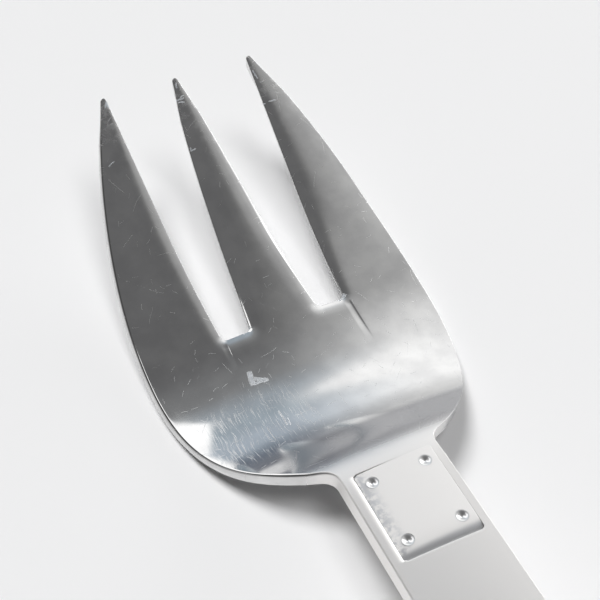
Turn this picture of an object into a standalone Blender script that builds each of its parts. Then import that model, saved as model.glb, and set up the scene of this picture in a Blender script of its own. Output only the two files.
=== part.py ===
"""Three-tine table fork: a pressed steel body, a square inlay plate on its neck and four dimpled rivets.

Metres, +Z up. The fork lies face up on the table with its tines along +Y. The origin is on the table,
under the middle of the fork's length.
"""
import math

import bmesh
import bpy
from mathutils import Matrix, Vector

MM = 0.001

# Plan of the head, measured back from the tine tips
FORK_LENGTH = 178.0 * MM
HEAD_WIDTH = 29.0 * MM
WIDEST_FROM_TIP = 27.5 * MM
LEAF_RADIUS = 63.6 * MM
BOWL_LENGTH = 19.0 * MM
BOWL_FULLNESS = 2.2
SLOT_LENGTH = 26.0 * MM
SLOT_ROOT_WIDTH = 2.8 * MM
SLOT_MOUTH_WIDTH = 7.05 * MM
SLOT_CORNER_RADIUS = 0.5 * MM
MIDDLE_ROOT_WIDTH = 7.1 * MM
MIDDLE_TIP_SETBACK = 0.3 * MM
MIDDLE_BULGE = 0.3 * MM
MIDDLE_LEAN = -0.35 * MM
TIP_WIDTH = 0.8 * MM
TIP_CORNER_RADIUS = 0.3 * MM

# Plan of the neck and handle
NECK_WIDTH = 9.15 * MM
SHOULDER_RADIUS = 2.0 * MM
STRAIGHT_NECK_LENGTH = 16.0 * MM
HANDLE_END_WIDTH = 15.0 * MM
HANDLE_CORNER_RADIUS = 5.0 * MM

# Side profile of the face: tines, sweep, lowest point, base wall, brow and neck
TINE_ANGLE = math.radians(24.0)
SWEEP_RADIUS = 44.5 * MM
LOWEST_FROM_TIP = 32.8 * MM
BASE_RADIUS = 17.0 * MM
BASE_ANGLE = math.radians(33.0)
BASE_WALL_LENGTH = 2.6 * MM
BROW_RADIUS = 5.7 * MM
NECK_ANGLE = math.radians(4.0)

# Thickness, and the crown across the face
CROWN_RADIUS = 92.0 * MM
TIP_THICKNESS = 1.1 * MM
HEAD_THICKNESS = 1.9 * MM
RIM_THICKNESS = 1.07 * MM
NECK_THICKNESS = 2.2 * MM
HANDLE_END_THICKNESS = 1.8 * MM

# Inlay plate in its pocket on the neck
CLEARANCE = 0.15 * MM
RAIL_WIDTH = 0.95 * MM
PLATE_OFFSET = 0.2 * MM
PLATE_LENGTH = 8.85 * MM
PLATE_THICKNESS = 0.7 * MM
PLATE_SINK = 0.15 * MM
PLATE_EDGE_RADIUS = 0.25 * MM

# Rivets
RIVET_INSET_SIDE = 1.0 * MM
RIVET_INSET_FRONT = 1.15 * MM
RIVET_INSET_BACK = 1.6 * MM
RIVET_HEAD_DIAMETER = 1.15 * MM
RIVET_SEAT_DEPTH = 0.35 * MM
RIVET_PROUD = 0.08 * MM
RIVET_SHANK_DIAMETER = 0.8 * MM
DIMPLE_LIP = 0.12 * MM
DIMPLE_DEPTH = 0.28 * MM

# Fineness of the facets
ARC_STEPS = 6
CURVE_STEPS = 14
MIDDLE_STEPS = 6
ROUND_SEGMENTS = 24
TINE_ROWS = 5
SWEEP_ROWS = 10
BASE_ROWS = 14
HANDLE_ROWS = 16
HEAD_COLUMNS = 6
STRAP_COLUMNS = 2
FILLET_LIMIT = 0.48
FLARE_STOP = 2.2
CREASE_ANGLE = math.radians(30.0)
WELD_DISTANCE = 0.001 * MM

# Finish of each steel: colour and roughness
POLISHED_STEEL = ((0.62, 0.62, 0.61), 0.16)
SATIN_STEEL = ((0.72, 0.72, 0.71), 0.34)
BRIGHT_STEEL = ((0.70, 0.70, 0.70), 0.22)

# Stations along the length, which follow from the sizes above
TIP_Y = FORK_LENGTH / 2
END_Y = -FORK_LENGTH / 2
WIDEST_Y = TIP_Y - WIDEST_FROM_TIP
ROOT_Y = TIP_Y - SLOT_LENGTH
LOWEST_Y = TIP_Y - LOWEST_FROM_TIP
SWEEP_Y = LOWEST_Y + SWEEP_RADIUS * math.sin(TINE_ANGLE)
WALL_Y = LOWEST_Y - BASE_RADIUS * math.sin(BASE_ANGLE)
BROW_Y = WALL_Y - BASE_WALL_LENGTH * math.cos(BASE_ANGLE)
NECK_Y = BROW_Y - BROW_RADIUS * (math.sin(BASE_ANGLE) - math.sin(NECK_ANGLE))
HANDLE_Y = NECK_Y - STRAIGHT_NECK_LENGTH * math.cos(NECK_ANGLE)

PLATE_WIDTH = NECK_WIDTH - 2 * (RAIL_WIDTH + CLEARANCE)


def ease(value, low, high):
    """Smooth step from 0 at low to 1 at high."""
    share = min(max((value - low) / (high - low), 0.0), 1.0)
    return share * share * (3 - 2 * share)


def mix(first, second, share):
    return first + (second - first) * share


# Plan of the blank


def leaf_x(y):
    """Half width between the tips and the widest line: an arc."""
    return HEAD_WIDTH / 2 - LEAF_RADIUS + math.sqrt(LEAF_RADIUS ** 2 - (y - WIDEST_Y) ** 2)


def bowl_y(x):
    """Edge of the bowl behind the widest line: half an oval, fuller at its corners than an ellipse."""
    return WIDEST_Y - BOWL_LENGTH * (1 - (2 * x / HEAD_WIDTH) ** BOWL_FULLNESS) ** (1 / BOWL_FULLNESS)


def strap_x(y):
    """Half width of the strap: parallel on the neck, then flaring to the end of the handle."""
    return mix(NECK_WIDTH, HANDLE_END_WIDTH, ease(-y, -HANDLE_Y, -END_Y)) / 2


def half_width(y):
    """Half width of the whole outline at y, as if the slots were filled."""
    if y >= WIDEST_Y:
        return leaf_x(y)
    depth = min((WIDEST_Y - y) / BOWL_LENGTH, 1.0)
    return max(HEAD_WIDTH / 2 * (1 - depth ** BOWL_FULLNESS) ** (1 / BOWL_FULLNESS), strap_x(y))


def middle_share(y):
    """0 at the root of the middle tine, 1 at its tip."""
    return min(max((y - ROOT_Y) / (TIP_Y - MIDDLE_TIP_SETBACK - ROOT_Y), 0.0), 1.0)


def middle_x(y):
    """Half width of the middle tine, whose edges are convex and fullest two thirds of the way to the tip."""
    share = middle_share(y)
    fullest = 2 / 3
    swell = share ** 2 * (1 - share) / (fullest ** 2 * (1 - fullest))
    return mix(MIDDLE_ROOT_WIDTH, TIP_WIDTH, share) / 2 + MIDDLE_BULGE * swell


def right_corners():
    """The outline's right half from the middle tip to the handle's end: corners with their radii."""
    middle_tip_y = TIP_Y - MIDDLE_TIP_SETBACK
    root_x = MIDDLE_ROOT_WIDTH / 2
    corners = [(TIP_WIDTH / 2, middle_tip_y, TIP_CORNER_RADIUS)]
    for i in range(1, MIDDLE_STEPS):
        y = mix(middle_tip_y, ROOT_Y, i / MIDDLE_STEPS)
        corners.append((middle_x(y), y, 0))
    corners += [
        (root_x, ROOT_Y, SLOT_CORNER_RADIUS),
        (root_x + SLOT_ROOT_WIDTH, ROOT_Y, SLOT_CORNER_RADIUS),
        (TIP_WIDTH / 2 + SLOT_MOUTH_WIDTH, TIP_Y, TIP_CORNER_RADIUS),
        (leaf_x(TIP_Y), TIP_Y, TIP_CORNER_RADIUS),
    ]
    for i in range(1, CURVE_STEPS + 1):
        y = mix(TIP_Y, WIDEST_Y, i / CURVE_STEPS)
        corners.append((leaf_x(y), y, 0))
    last_angle = math.acos((NECK_WIDTH / 2 + SHOULDER_RADIUS) * 2 / HEAD_WIDTH)
    for i in range(1, CURVE_STEPS + 1):
        x = HEAD_WIDTH / 2 * math.cos(last_angle * i / CURVE_STEPS)
        corners.append((x, bowl_y(x), 0))
    corners.append((NECK_WIDTH / 2, bowl_y(NECK_WIDTH / 2), SHOULDER_RADIUS))
    flare_stop = END_Y + FLARE_STOP * HANDLE_CORNER_RADIUS
    for i in range(CURVE_STEPS + 1):
        y = mix(HANDLE_Y, flare_stop, i / CURVE_STEPS)
        corners.append((strap_x(y), y, 0))
    corners.append((HANDLE_END_WIDTH / 2, END_Y, HANDLE_CORNER_RADIUS))
    return corners


def rounded(before, corner, after, radius):
    """Arc that rounds one corner, held to FILLET_LIMIT of the edges beside it."""
    to_before = before - corner
    to_after = after - corner
    half_angle = to_before.angle(to_after) / 2
    room = FILLET_LIMIT * min(to_before.length, to_after.length)
    run = min(radius / math.tan(half_angle), room)
    to_before.normalize()
    to_after.normalize()
    centre = corner + (to_before + to_after).normalized() * (run / math.cos(half_angle))
    start = corner + to_before * run - centre
    end = corner + to_after * run - centre
    turn = math.atan2(start.x * end.y - start.y * end.x, start.dot(end))
    return [centre + Matrix.Rotation(turn * i / ARC_STEPS, 2) @ start for i in range(ARC_STEPS + 1)]


def blank_outline():
    """Closed outline of the flat blank, as points in plan."""
    right = right_corners()
    corners = right + [(-x, y, radius) for x, y, radius in reversed(right)]
    places = [Vector((x, y)) for x, y, radius in corners]
    points = []
    for i, place in enumerate(places):
        radius = corners[i][2]
        if radius:
            points += rounded(places[i - 1], place, places[(i + 1) % len(places)], radius)
        else:
            points.append(place)
    for point in points:
        if abs(point.x) < middle_x(point.y) + SLOT_ROOT_WIDTH / 2:
            point.x += MIDDLE_LEAN * ease(middle_share(point.y), 0, 1)
    return points


# Pressed shape of the blank


def face_height(y):
    """Height of the face over its lowest point on the centre line, from the tips to the end of the neck."""
    if y >= SWEEP_Y:
        return SWEEP_RADIUS * (1 - math.cos(TINE_ANGLE)) + (y - SWEEP_Y) * math.tan(TINE_ANGLE)
    if y >= LOWEST_Y:
        return SWEEP_RADIUS - math.sqrt(SWEEP_RADIUS ** 2 - (y - LOWEST_Y) ** 2)
    if y >= WALL_Y:
        return BASE_RADIUS - math.sqrt(BASE_RADIUS ** 2 - (LOWEST_Y - y) ** 2)
    if y >= BROW_Y:
        return face_height(WALL_Y) + (WALL_Y - y) * math.tan(BASE_ANGLE)
    if y >= NECK_Y:
        slope = math.asin(math.sin(BASE_ANGLE) - (BROW_Y - y) / BROW_RADIUS)
        return face_height(BROW_Y) + BROW_RADIUS * (math.cos(slope) - math.cos(BASE_ANGLE))
    return face_height(NECK_Y) + (NECK_Y - y) * math.tan(NECK_ANGLE)


def handle_height(y, end_height):
    """Height of the handle's face: a parabola that leaves the neck smoothly and comes down to its end."""
    run = HANDLE_Y - END_Y
    share = (HANDLE_Y - y) / run
    rise = run * math.tan(NECK_ANGLE)
    start = face_height(HANDLE_Y)
    return start + rise * share - (start + rise - end_height) * share ** 2


def crown(x):
    """How far the crowned face falls away from the centre line at x."""
    return x ** 2 / (2 * CROWN_RADIUS)


def centre_thickness(y):
    if y >= LOWEST_Y:
        return mix(HEAD_THICKNESS, TIP_THICKNESS, ease(y, LOWEST_Y, TIP_Y))
    if y >= NECK_Y:
        return mix(HEAD_THICKNESS, NECK_THICKNESS, ease(-y, -LOWEST_Y, -NECK_Y))
    return mix(NECK_THICKNESS, HANDLE_END_THICKNESS, ease(-y, -HANDLE_Y, -END_Y))


def underside(x, y, face):
    """Height of the underside: it thins to the rim on the head and is flat across the strap."""
    width = half_width(y)
    rim = face - crown(width) - RIM_THICKNESS
    share = min(abs(x) / width, 1.0) ** 2 * (1 - ease(-y, -LOWEST_Y, -NECK_Y))
    return mix(face - centre_thickness(y), rim, share)


def table_height(outline):
    """Height of the table under the head, which touches it at the rim."""
    return min(underside(point.x, point.y, face_height(point.y)) for point in outline if point.y > NECK_Y)


def pressed_heights(point, table):
    """Heights of the face and of the underside over the table at one point of the plan."""
    if point.y >= HANDLE_Y:
        face = face_height(point.y)
    else:
        face = handle_height(point.y, table + HANDLE_END_THICKNESS)
    return face - crown(point.x) - table, underside(point.x, point.y, face) - table


# Building blocks


def new_object(name, mesh_builder, material=None):
    """Adds a named object from a bmesh, shaded smooth up to a crease."""
    mesh = bpy.data.meshes.new(name)
    mesh_builder.to_mesh(mesh)
    mesh_builder.free()
    mesh.shade_smooth()
    mesh.set_sharp_from_angle(angle=CREASE_ANGLE)
    item = bpy.data.objects.new(name, mesh)
    bpy.context.collection.objects.link(item)
    if material:
        mesh.materials.append(material)
    return item


def steel(name, finish):
    colour, roughness = finish
    material = bpy.data.materials.new(name)
    material.use_nodes = True
    shader = material.node_tree.nodes["Principled BSDF"]
    shader.inputs["Base Color"].default_value = (*colour, 1.0)
    shader.inputs["Metallic"].default_value = 1.0
    shader.inputs["Roughness"].default_value = roughness
    return material


def box(width, length, low, high, front):
    """Upright block whose front edge is at y = front and which runs back from it."""
    builder = bmesh.new()
    size = Matrix.Diagonal((width, length, high - low, 1.0))
    place = Matrix.Translation((0, front - length / 2, (low + high) / 2))
    bmesh.ops.create_cube(builder, size=1.0, matrix=place @ size)
    return builder


def rod(diameter, low, high):
    builder = bmesh.new()
    bmesh.ops.create_cone(
        builder, cap_ends=True, segments=ROUND_SEGMENTS, radius1=diameter / 2, radius2=diameter / 2,
        depth=high - low, matrix=Matrix.Translation((0, 0, (low + high) / 2)))
    return builder


def turned(profile):
    """Closed solid of revolution from (radius, height) points that run from axis to axis."""
    builder = bmesh.new()
    points = [builder.verts.new((radius, 0, height)) for radius, height in profile]
    edges = [builder.edges.new(pair) for pair in zip(points, points[1:])]
    bmesh.ops.spin(
        builder, geom=points + edges, axis=(0, 0, 1), cent=(0, 0, 0), angle=2 * math.pi,
        steps=ROUND_SEGMENTS, use_merge=True)
    bmesh.ops.remove_doubles(builder, verts=builder.verts, dist=WELD_DISTANCE)
    bmesh.ops.recalc_face_normals(builder, faces=builder.faces)
    return builder


def cut(item, cutter):
    """Subtracts a cutter, which stays as a wire guide, from an item."""
    cutter.hide_render = True
    cutter.display_type = "WIRE"
    modifier = item.modifiers.new(cutter.name, "BOOLEAN")
    modifier.operation = "DIFFERENCE"
    modifier.object = cutter


def place_on(parent, item, location=(0, 0, 0)):
    item.parent = parent
    item.location = location
    return item


# Fork body


def slice_blank(builder, places, axis, front, back):
    """Cuts the flat blank across at each place along axis 0 or 1, between two stations of its length."""
    normal = Vector((1, 0, 0)) if axis == 0 else Vector((0, 1, 0))
    for place in places:
        faces = [face for face in builder.faces if back < face.calc_center_median().y < front]
        parts = set(faces)
        for face in faces:
            parts.update(face.edges)
            parts.update(face.verts)
        bmesh.ops.bisect_plane(
            builder, geom=list(parts), dist=WELD_DISTANCE, plane_co=normal * place, plane_no=normal)


def even(start, end, count):
    return [mix(start, end, i / count) for i in range(count)]


def make_body(material):
    """Stamps the outline as a flat blank, slices it into rows and columns, and presses it to shape."""
    outline = blank_outline()
    table = table_height(outline)
    builder = bmesh.new()
    builder.faces.new([builder.verts.new((point.x, point.y, 0)) for point in outline])
    rows = even(TIP_Y, SWEEP_Y, TINE_ROWS)[1:] + even(SWEEP_Y, LOWEST_Y, SWEEP_ROWS)
    rows += even(LOWEST_Y, NECK_Y, BASE_ROWS) + [NECK_Y] + even(HANDLE_Y, END_Y, HANDLE_ROWS)
    slice_blank(builder, rows, 1, TIP_Y, END_Y)
    head_columns = [HEAD_WIDTH / 2 * i / HEAD_COLUMNS for i in range(1 - HEAD_COLUMNS, HEAD_COLUMNS)]
    slice_blank(builder, head_columns, 0, TIP_Y, NECK_Y)
    strap_columns = [NECK_WIDTH / 2 * i / STRAP_COLUMNS for i in range(1 - STRAP_COLUMNS, STRAP_COLUMNS)]
    slice_blank(builder, strap_columns, 0, NECK_Y, END_Y)
    bmesh.ops.triangulate(builder, faces=builder.faces)
    lower = list(builder.verts)
    extruded = bmesh.ops.extrude_face_region(builder, geom=list(builder.faces))
    upper = [part for part in extruded["geom"] if isinstance(part, bmesh.types.BMVert)]
    for vertex in upper:
        vertex.co.z = pressed_heights(vertex.co, table)[0]
    for vertex in lower:
        vertex.co.z = pressed_heights(vertex.co, table)[1]
    bmesh.ops.triangulate(builder, faces=builder.faces)
    bmesh.ops.recalc_face_normals(builder, faces=builder.faces)
    return new_object("fork_body", builder, material), table


def make_neck_frame(table):
    """Empty on the face at the front of the straight neck, tilted with it; the plate is a little off centre."""
    frame = bpy.data.objects.new("neck_frame", None)
    bpy.context.collection.objects.link(frame)
    frame.location = (PLATE_OFFSET, NECK_Y, face_height(NECK_Y) - table)
    frame.rotation_euler = (-NECK_ANGLE, 0, 0)
    return frame


# Inlay plate and rivets, in the neck's own frame

PLATE_FRONT = -CLEARANCE
PLATE_TOP = -PLATE_SINK
PLATE_BOTTOM = PLATE_TOP - PLATE_THICKNESS
POCKET_FLOOR = PLATE_BOTTOM - CLEARANCE
NECK_BACK = -NECK_THICKNESS * math.cos(NECK_ANGLE)
CUT_MARGIN = 2.0 * MM


def rivet_places():
    """Node name and centre of each rivet on top of the plate."""
    x = PLATE_WIDTH / 2 - RIVET_INSET_SIDE
    front = PLATE_FRONT - RIVET_INSET_FRONT
    back = PLATE_FRONT - PLATE_LENGTH + RIVET_INSET_BACK
    for row, y in (("front", front), ("back", back)):
        yield f"rivet_{row}_left", (-x, y, PLATE_TOP)
        yield f"rivet_{row}_right", (x, y, PLATE_TOP)


def make_pocket(frame, body):
    pocket = box(PLATE_WIDTH + 2 * CLEARANCE, PLATE_LENGTH + 2 * CLEARANCE, POCKET_FLOOR, CUT_MARGIN,
                 PLATE_FRONT + CLEARANCE)
    cut(body, place_on(frame, new_object("pocket_cutter", pocket)))


def make_plate(frame, material):
    """Flat plate with its upper edges rounded off."""
    builder = box(PLATE_WIDTH, PLATE_LENGTH, PLATE_BOTTOM, PLATE_TOP, PLATE_FRONT)
    top = [vertex for vertex in builder.verts if vertex.co.z > (PLATE_BOTTOM + PLATE_TOP) / 2]
    edges = [edge for edge in builder.edges if edge.verts[0] in top and edge.verts[1] in top]
    bmesh.ops.bevel(builder, geom=edges, offset=PLATE_EDGE_RADIUS, segments=ARC_STEPS // 2, profile=0.5,
                    affect="EDGES")
    return place_on(frame, new_object("inlay_plate", builder, material))


def rivet_profile():
    """Tail, shank, head and dished top of a rivet, from the axis round to the axis, over the plate's top."""
    shank = RIVET_SHANK_DIAMETER / 2
    head = RIVET_HEAD_DIAMETER / 2
    dimple = head - DIMPLE_LIP
    tail = NECK_BACK - PLATE_TOP
    points = [(0, tail), (shank, tail), (shank, -RIVET_SEAT_DEPTH), (head, -RIVET_SEAT_DEPTH), (head, 0),
              (head - DIMPLE_LIP / 2, RIVET_PROUD)]
    for i in range(ARC_STEPS, -1, -1):
        share = i / ARC_STEPS
        points.append((dimple * share, RIVET_PROUD - DIMPLE_DEPTH * (1 - share ** 2)))
    return points


def make_rivets(frame, body, plate, material):
    """One rivet at each corner of the plate, with a stepped hole in the plate and a plain one in the neck."""
    seat = -RIVET_SEAT_DEPTH - CLEARANCE
    for name, place in rivet_places():
        place_on(frame, new_object(name, turned(rivet_profile()), material), place)
        shank_hole = rod(RIVET_SHANK_DIAMETER + 2 * CLEARANCE, NECK_BACK - CUT_MARGIN, CUT_MARGIN)
        shank_cutter = place_on(frame, new_object(f"{name}_shank_cutter", shank_hole), place)
        cut(body, shank_cutter)
        cut(plate, shank_cutter)
        seat_hole = rod(RIVET_HEAD_DIAMETER + 2 * CLEARANCE, seat, CUT_MARGIN)
        cut(plate, place_on(frame, new_object(f"{name}_seat_cutter", seat_hole), place))


def main():
    for item in list(bpy.data.objects):
        bpy.data.objects.remove(item)
    body, table = make_body(steel("polished_steel", POLISHED_STEEL))
    frame = make_neck_frame(table)
    make_pocket(frame, body)
    plate = make_plate(frame, steel("satin_steel", SATIN_STEEL))
    make_rivets(frame, body, plate, steel("bright_steel", BRIGHT_STEEL))


main()
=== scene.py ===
"""Looks of the three-tine table fork: polished head, satin neck and handle, inlay plate and dimpled rivets.

Metres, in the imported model's frame: +Z up, tines along +Y, table at z = 0.
"""
import math

import bpy
import numpy as np
from mathutils import Matrix, Vector
from mathutils.geometry import delaunay_2d_cdt
from mathutils.kdtree import KDTree


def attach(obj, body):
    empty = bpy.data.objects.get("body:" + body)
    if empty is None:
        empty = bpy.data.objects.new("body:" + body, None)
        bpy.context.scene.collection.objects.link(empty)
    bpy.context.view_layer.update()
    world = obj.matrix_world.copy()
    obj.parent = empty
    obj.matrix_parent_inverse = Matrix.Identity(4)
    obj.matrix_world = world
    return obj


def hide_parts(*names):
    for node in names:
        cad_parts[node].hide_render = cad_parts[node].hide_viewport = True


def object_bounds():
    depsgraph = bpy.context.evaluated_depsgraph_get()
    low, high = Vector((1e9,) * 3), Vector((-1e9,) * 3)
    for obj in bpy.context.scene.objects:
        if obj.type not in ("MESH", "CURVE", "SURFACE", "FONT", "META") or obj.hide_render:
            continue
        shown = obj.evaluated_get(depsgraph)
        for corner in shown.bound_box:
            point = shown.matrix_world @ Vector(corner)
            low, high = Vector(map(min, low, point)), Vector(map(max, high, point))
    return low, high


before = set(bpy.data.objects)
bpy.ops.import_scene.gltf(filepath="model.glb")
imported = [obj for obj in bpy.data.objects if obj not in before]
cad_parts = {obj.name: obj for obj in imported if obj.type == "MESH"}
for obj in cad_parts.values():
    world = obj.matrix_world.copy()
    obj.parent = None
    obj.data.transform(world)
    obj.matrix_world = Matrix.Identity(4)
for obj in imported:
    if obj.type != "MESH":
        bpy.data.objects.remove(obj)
cad_low, cad_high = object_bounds()

MM = 0.001

# Plan of the fork, as in the solids
TIP_Y = cad_high.y
END_Y = cad_low.y
HEAD_WIDTH = cad_high.x - cad_low.x
WIDEST_Y = TIP_Y - 27.5 * MM
ROOT_Y = TIP_Y - 26.0 * MM
LEAF_RADIUS = 63.6 * MM
BOWL_LENGTH = 19.0 * MM
BOWL_FULLNESS = 2.2
SLOT_ROOT_WIDTH = 2.8 * MM
SLOT_MOUTH_WIDTH = 7.05 * MM
SLOT_CORNER_RADIUS = 0.5 * MM
MIDDLE_ROOT_WIDTH = 7.1 * MM
MIDDLE_TIP_SETBACK = 0.3 * MM
MIDDLE_BULGE = 0.3 * MM
MIDDLE_LEAN = -0.35 * MM
TIP_WIDTH = 0.8 * MM
NECK_WIDTH = 9.15 * MM
SHOULDER_RADIUS = 2.0 * MM
HANDLE_END_WIDTH = 15.0 * MM
HANDLE_CORNER_RADIUS = 5.0 * MM
FILLET_LIMIT = 0.48
FLARE_STOP = 2.2

# Side profile of the face and thickness, as in the solids
TINE_ANGLE = math.radians(24.0)
SWEEP_RADIUS = 44.5 * MM
BASE_RADIUS = 17.0 * MM
BASE_ANGLE = math.radians(33.0)
BASE_WALL_LENGTH = 2.6 * MM
BROW_RADIUS = 5.7 * MM
NECK_ANGLE = math.radians(4.0)
CROWN_RADIUS = 92.0 * MM
TIP_THICKNESS = 1.1 * MM
HEAD_THICKNESS = 1.9 * MM
RIM_THICKNESS = 1.07 * MM
NECK_THICKNESS = 2.2 * MM
HANDLE_END_THICKNESS = 1.8 * MM
LOWEST_Y = TIP_Y - 32.8 * MM
SWEEP_Y = LOWEST_Y + SWEEP_RADIUS * math.sin(TINE_ANGLE)
WALL_Y = LOWEST_Y - BASE_RADIUS * math.sin(BASE_ANGLE)
BROW_Y = WALL_Y - BASE_WALL_LENGTH * math.cos(BASE_ANGLE)
NECK_Y = BROW_Y - BROW_RADIUS * (math.sin(BASE_ANGLE) - math.sin(NECK_ANGLE))
HANDLE_Y = NECK_Y - 16.0 * MM * math.cos(NECK_ANGLE)

# Plate, pocket and rivets in the neck's own frame, as in the solids
PLATE_OFFSET = 0.2 * MM
PLATE_WIDTH = 6.95 * MM
PLATE_LENGTH = 8.85 * MM
PLATE_BOTTOM = -0.85 * MM
POCKET_FLOOR = -1.0 * MM
CLEARANCE = 0.15 * MM
RIVET_INSET_SIDE = 1.0 * MM
RIVET_INSET_FRONT = 1.15 * MM
RIVET_INSET_BACK = 1.6 * MM
RIVET_HEAD_DIAMETER = 1.15 * MM
RIVET_SHANK_DIAMETER = 0.8 * MM
NECK_BACK = -NECK_THICKNESS * math.cos(NECK_ANGLE)

# Rounding that only the looks have
TIP_CORNER_RADIUS = 0.38 * MM
EDGE_RADIUS = 0.42 * MM
SLOT_EDGE_RADIUS = 0.12 * MM
FINE_EDGE_RADIUS = 0.05 * MM
TIP_EDGE_RADIUS = 0.1 * MM
STRAP_EDGE_RADIUS = 0.2 * MM
BACK_EDGE_RADIUS = 0.25 * MM
EDGE_STEPS = 8
TIP_BLEND = (5.0 * MM, 0.5 * MM)
STRAP_BLEND = 3.0 * MM
SIDE_BLEND = 0.3
SLOT_WALL_LEAN = 0.38
SLOT_WALL_LIMIT = 0.45
SLOT_WALL_BLEND = (0.3, 0.8)
ROLL_WIDTH = 0.5 * MM
ROLL_SLOPE = 0.32
FINE_ROLL_SLOPE = 0.05
SLOT_ROLL_WIDTH = 1.8 * MM
SLOT_ROLL_SLOPE = 0.32
SLOT_ROLL_REACH = 0.5 * MM
TIP_ROLL_SLOPE = 0.27
TIP_ROLL_BLEND = (4.0 * MM, 18.0 * MM)
TIP_TAPER = 0.3
TIP_TAPER_LENGTH = 4.5 * MM
ROLL_LIMIT = 0.9
PROFILE_BLUR = 2.2 * MM
PROFILE_SAMPLES = 9
TINE_CROWN = 0.17
CROWN_FADE = 14.0 * MM
CREASES = ((-1, 6.23 * MM, 3.5 * MM), (1, 6.65 * MM, 5.8 * MM))
CREASE_SPREAD = 0.03
CREASE_LEFT_WIDTH = 0.6 * MM
CREASE_RIGHT_WIDTH = 0.22 * MM
CREASE_DEPTH = 0.032 * MM
CREASE_FULL_SHARE = 0.4
CREASE_END = (0.9 * MM, 0.3 * MM)
LIP_RADIUS = 0.6 * MM
LIP_NEAR_RADIUS = 0.2 * MM
LIP_FINE_RADIUS = 0.05 * MM
LIP_FALL = 0.42
LIP_STEPS = 5
SEAM_BLEND = (0.6, 1.0)
POCKET_MARGIN = 1.4 * LIP_RADIUS
PLATE_GAP = 0.01 * MM
PLATE_CORNER_RADIUS = 0.33 * MM
PLATE_EDGE_RADIUS = 0.3 * MM
PLATE_FINE_RADIUS = 0.05 * MM
PLATE_FACE = -0.015 * MM
PLATE_CREST = 0.5
PLATE_PILLOW = 0.27 * MM
PLATE_NEAR_FALL = 0.32 * MM
PLATE_NEAR_POWER = 8
RIVET_GAP = 0.005 * MM
DIMPLE_DEPTH = 0.19 * MM
DIMPLE_LIP = 0.04 * MM
DIMPLE_STEPS = 16
TAIL_DOME = 0.05 * MM
TAIL_STEPS = 4
SHARP_ANGLE = math.radians(50)

# Fineness of the meshes
ARC_STEPS = 24
LEAF_STEPS = 56
BOWL_STEPS = 160
MIDDLE_STEPS = 24
HANDLE_STEPS = 60
HEAD_SPACING = 0.18 * MM
HANDLE_SPACING = 0.6 * MM
CORNER_SPACING = 0.07 * MM
FINE_AT_TIP = (2.5 * MM, 1.0 * MM)
FINE_AT_ROOT = (0.6 * MM, 1.6 * MM)
FINE_ROOT_HALF_WIDTH = 8.0 * MM
EDGE_ROWS = (0.12 * MM, 0.3 * MM, 0.6 * MM)
EDGE_ROW_SLACK = 0.02 * MM
HEAD_GRID = 0.45 * MM
HANDLE_GRID = 1.2 * MM
GRID_MARGIN = 0.8 * MM
BACK_GRID_SCALE = 1.6
BACK_MARGIN = 0.08 * MM
PLATE_GRID = 0.25 * MM
CREASE_GRID = 0.15 * MM
CREASE_COLUMNS = 10
CREASE_GRID_END = 0.4 * MM
FACE_SLOPE_STEP = 0.02 * MM
BACK_SLOPE_STEP = 0.05 * MM
CORNER_STEPS = 6
ROUND_SEGMENTS = 48
CDT_TOLERANCE = 1e-6
LEAST_DISTANCE = 1e-9
ROW_SHARE = math.sqrt(0.75)
INSIDE_CHUNK = 2000

# Camera, fitted to the photograph
CAMERA_PLACE = Vector((-32.55, -7.69, 98.67)) * MM
CAMERA_ELEVATION = math.radians(50.21)
CAMERA_AZIMUTH = math.radians(-25.83)
CAMERA_ROLL = math.radians(-0.77)
CAMERA_LENS = 77.82
SENSOR_WIDTH = 36.0
CLIP_START = 5 * MM
CLIP_END = 100.0


def ease(value, low, high):
    """Smooth step from 0 at low to 1 at high, which may be the smaller one."""
    share = np.clip((value - low) / (high - low), 0.0, 1.0)
    return share * share * (3 - 2 * share)


def mix(first, second, share):
    return first + (second - first) * share


def unit(vectors):
    return vectors / np.linalg.norm(vectors, axis=-1, keepdims=True)


def with_height(places, heights):
    """Points in space from points in plan, with one height for all or one for each."""
    return np.column_stack([places, np.broadcast_to(heights, len(places))])


def flat(directions):
    """Level directions in space from directions in plan."""
    return with_height(directions, 0.0)


def slopes(height, x, y, step):
    """Slopes of a height function along x and y."""
    along_x = (height(x + step, y) - height(x - step, y)) / (2 * step)
    along_y = (height(x, y + step) - height(x, y - step)) / (2 * step)
    return np.column_stack([along_x, along_y])


# Plan of the blank


def leaf_x(y):
    """Half width between the tips and the widest line: an arc."""
    return HEAD_WIDTH / 2 - LEAF_RADIUS + np.sqrt(LEAF_RADIUS ** 2 - (y - WIDEST_Y) ** 2)


def bowl_y(x):
    """Edge of the bowl behind the widest line: half an oval, fuller at its corners than an ellipse."""
    return WIDEST_Y - BOWL_LENGTH * (1 - (2 * x / HEAD_WIDTH) ** BOWL_FULLNESS) ** (1 / BOWL_FULLNESS)


def strap_x(y):
    """Half width of the strap: parallel on the neck, then flaring to the end of the handle."""
    return mix(NECK_WIDTH, HANDLE_END_WIDTH, ease(y, HANDLE_Y, END_Y)) / 2


def half_width(y):
    """Half width of the whole outline at y, as if the slots were filled."""
    leaf = leaf_x(np.maximum(y, WIDEST_Y))
    depth = np.clip((WIDEST_Y - y) / BOWL_LENGTH, 0.0, 1.0)
    bowl = HEAD_WIDTH / 2 * (1 - depth ** BOWL_FULLNESS) ** (1 / BOWL_FULLNESS)
    return np.where(y >= WIDEST_Y, leaf, np.maximum(bowl, strap_x(y)))


def middle_share(y):
    """0 at the root of the middle tine, 1 at its tip."""
    return np.clip((y - ROOT_Y) / (TIP_Y - MIDDLE_TIP_SETBACK - ROOT_Y), 0.0, 1.0)


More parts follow.
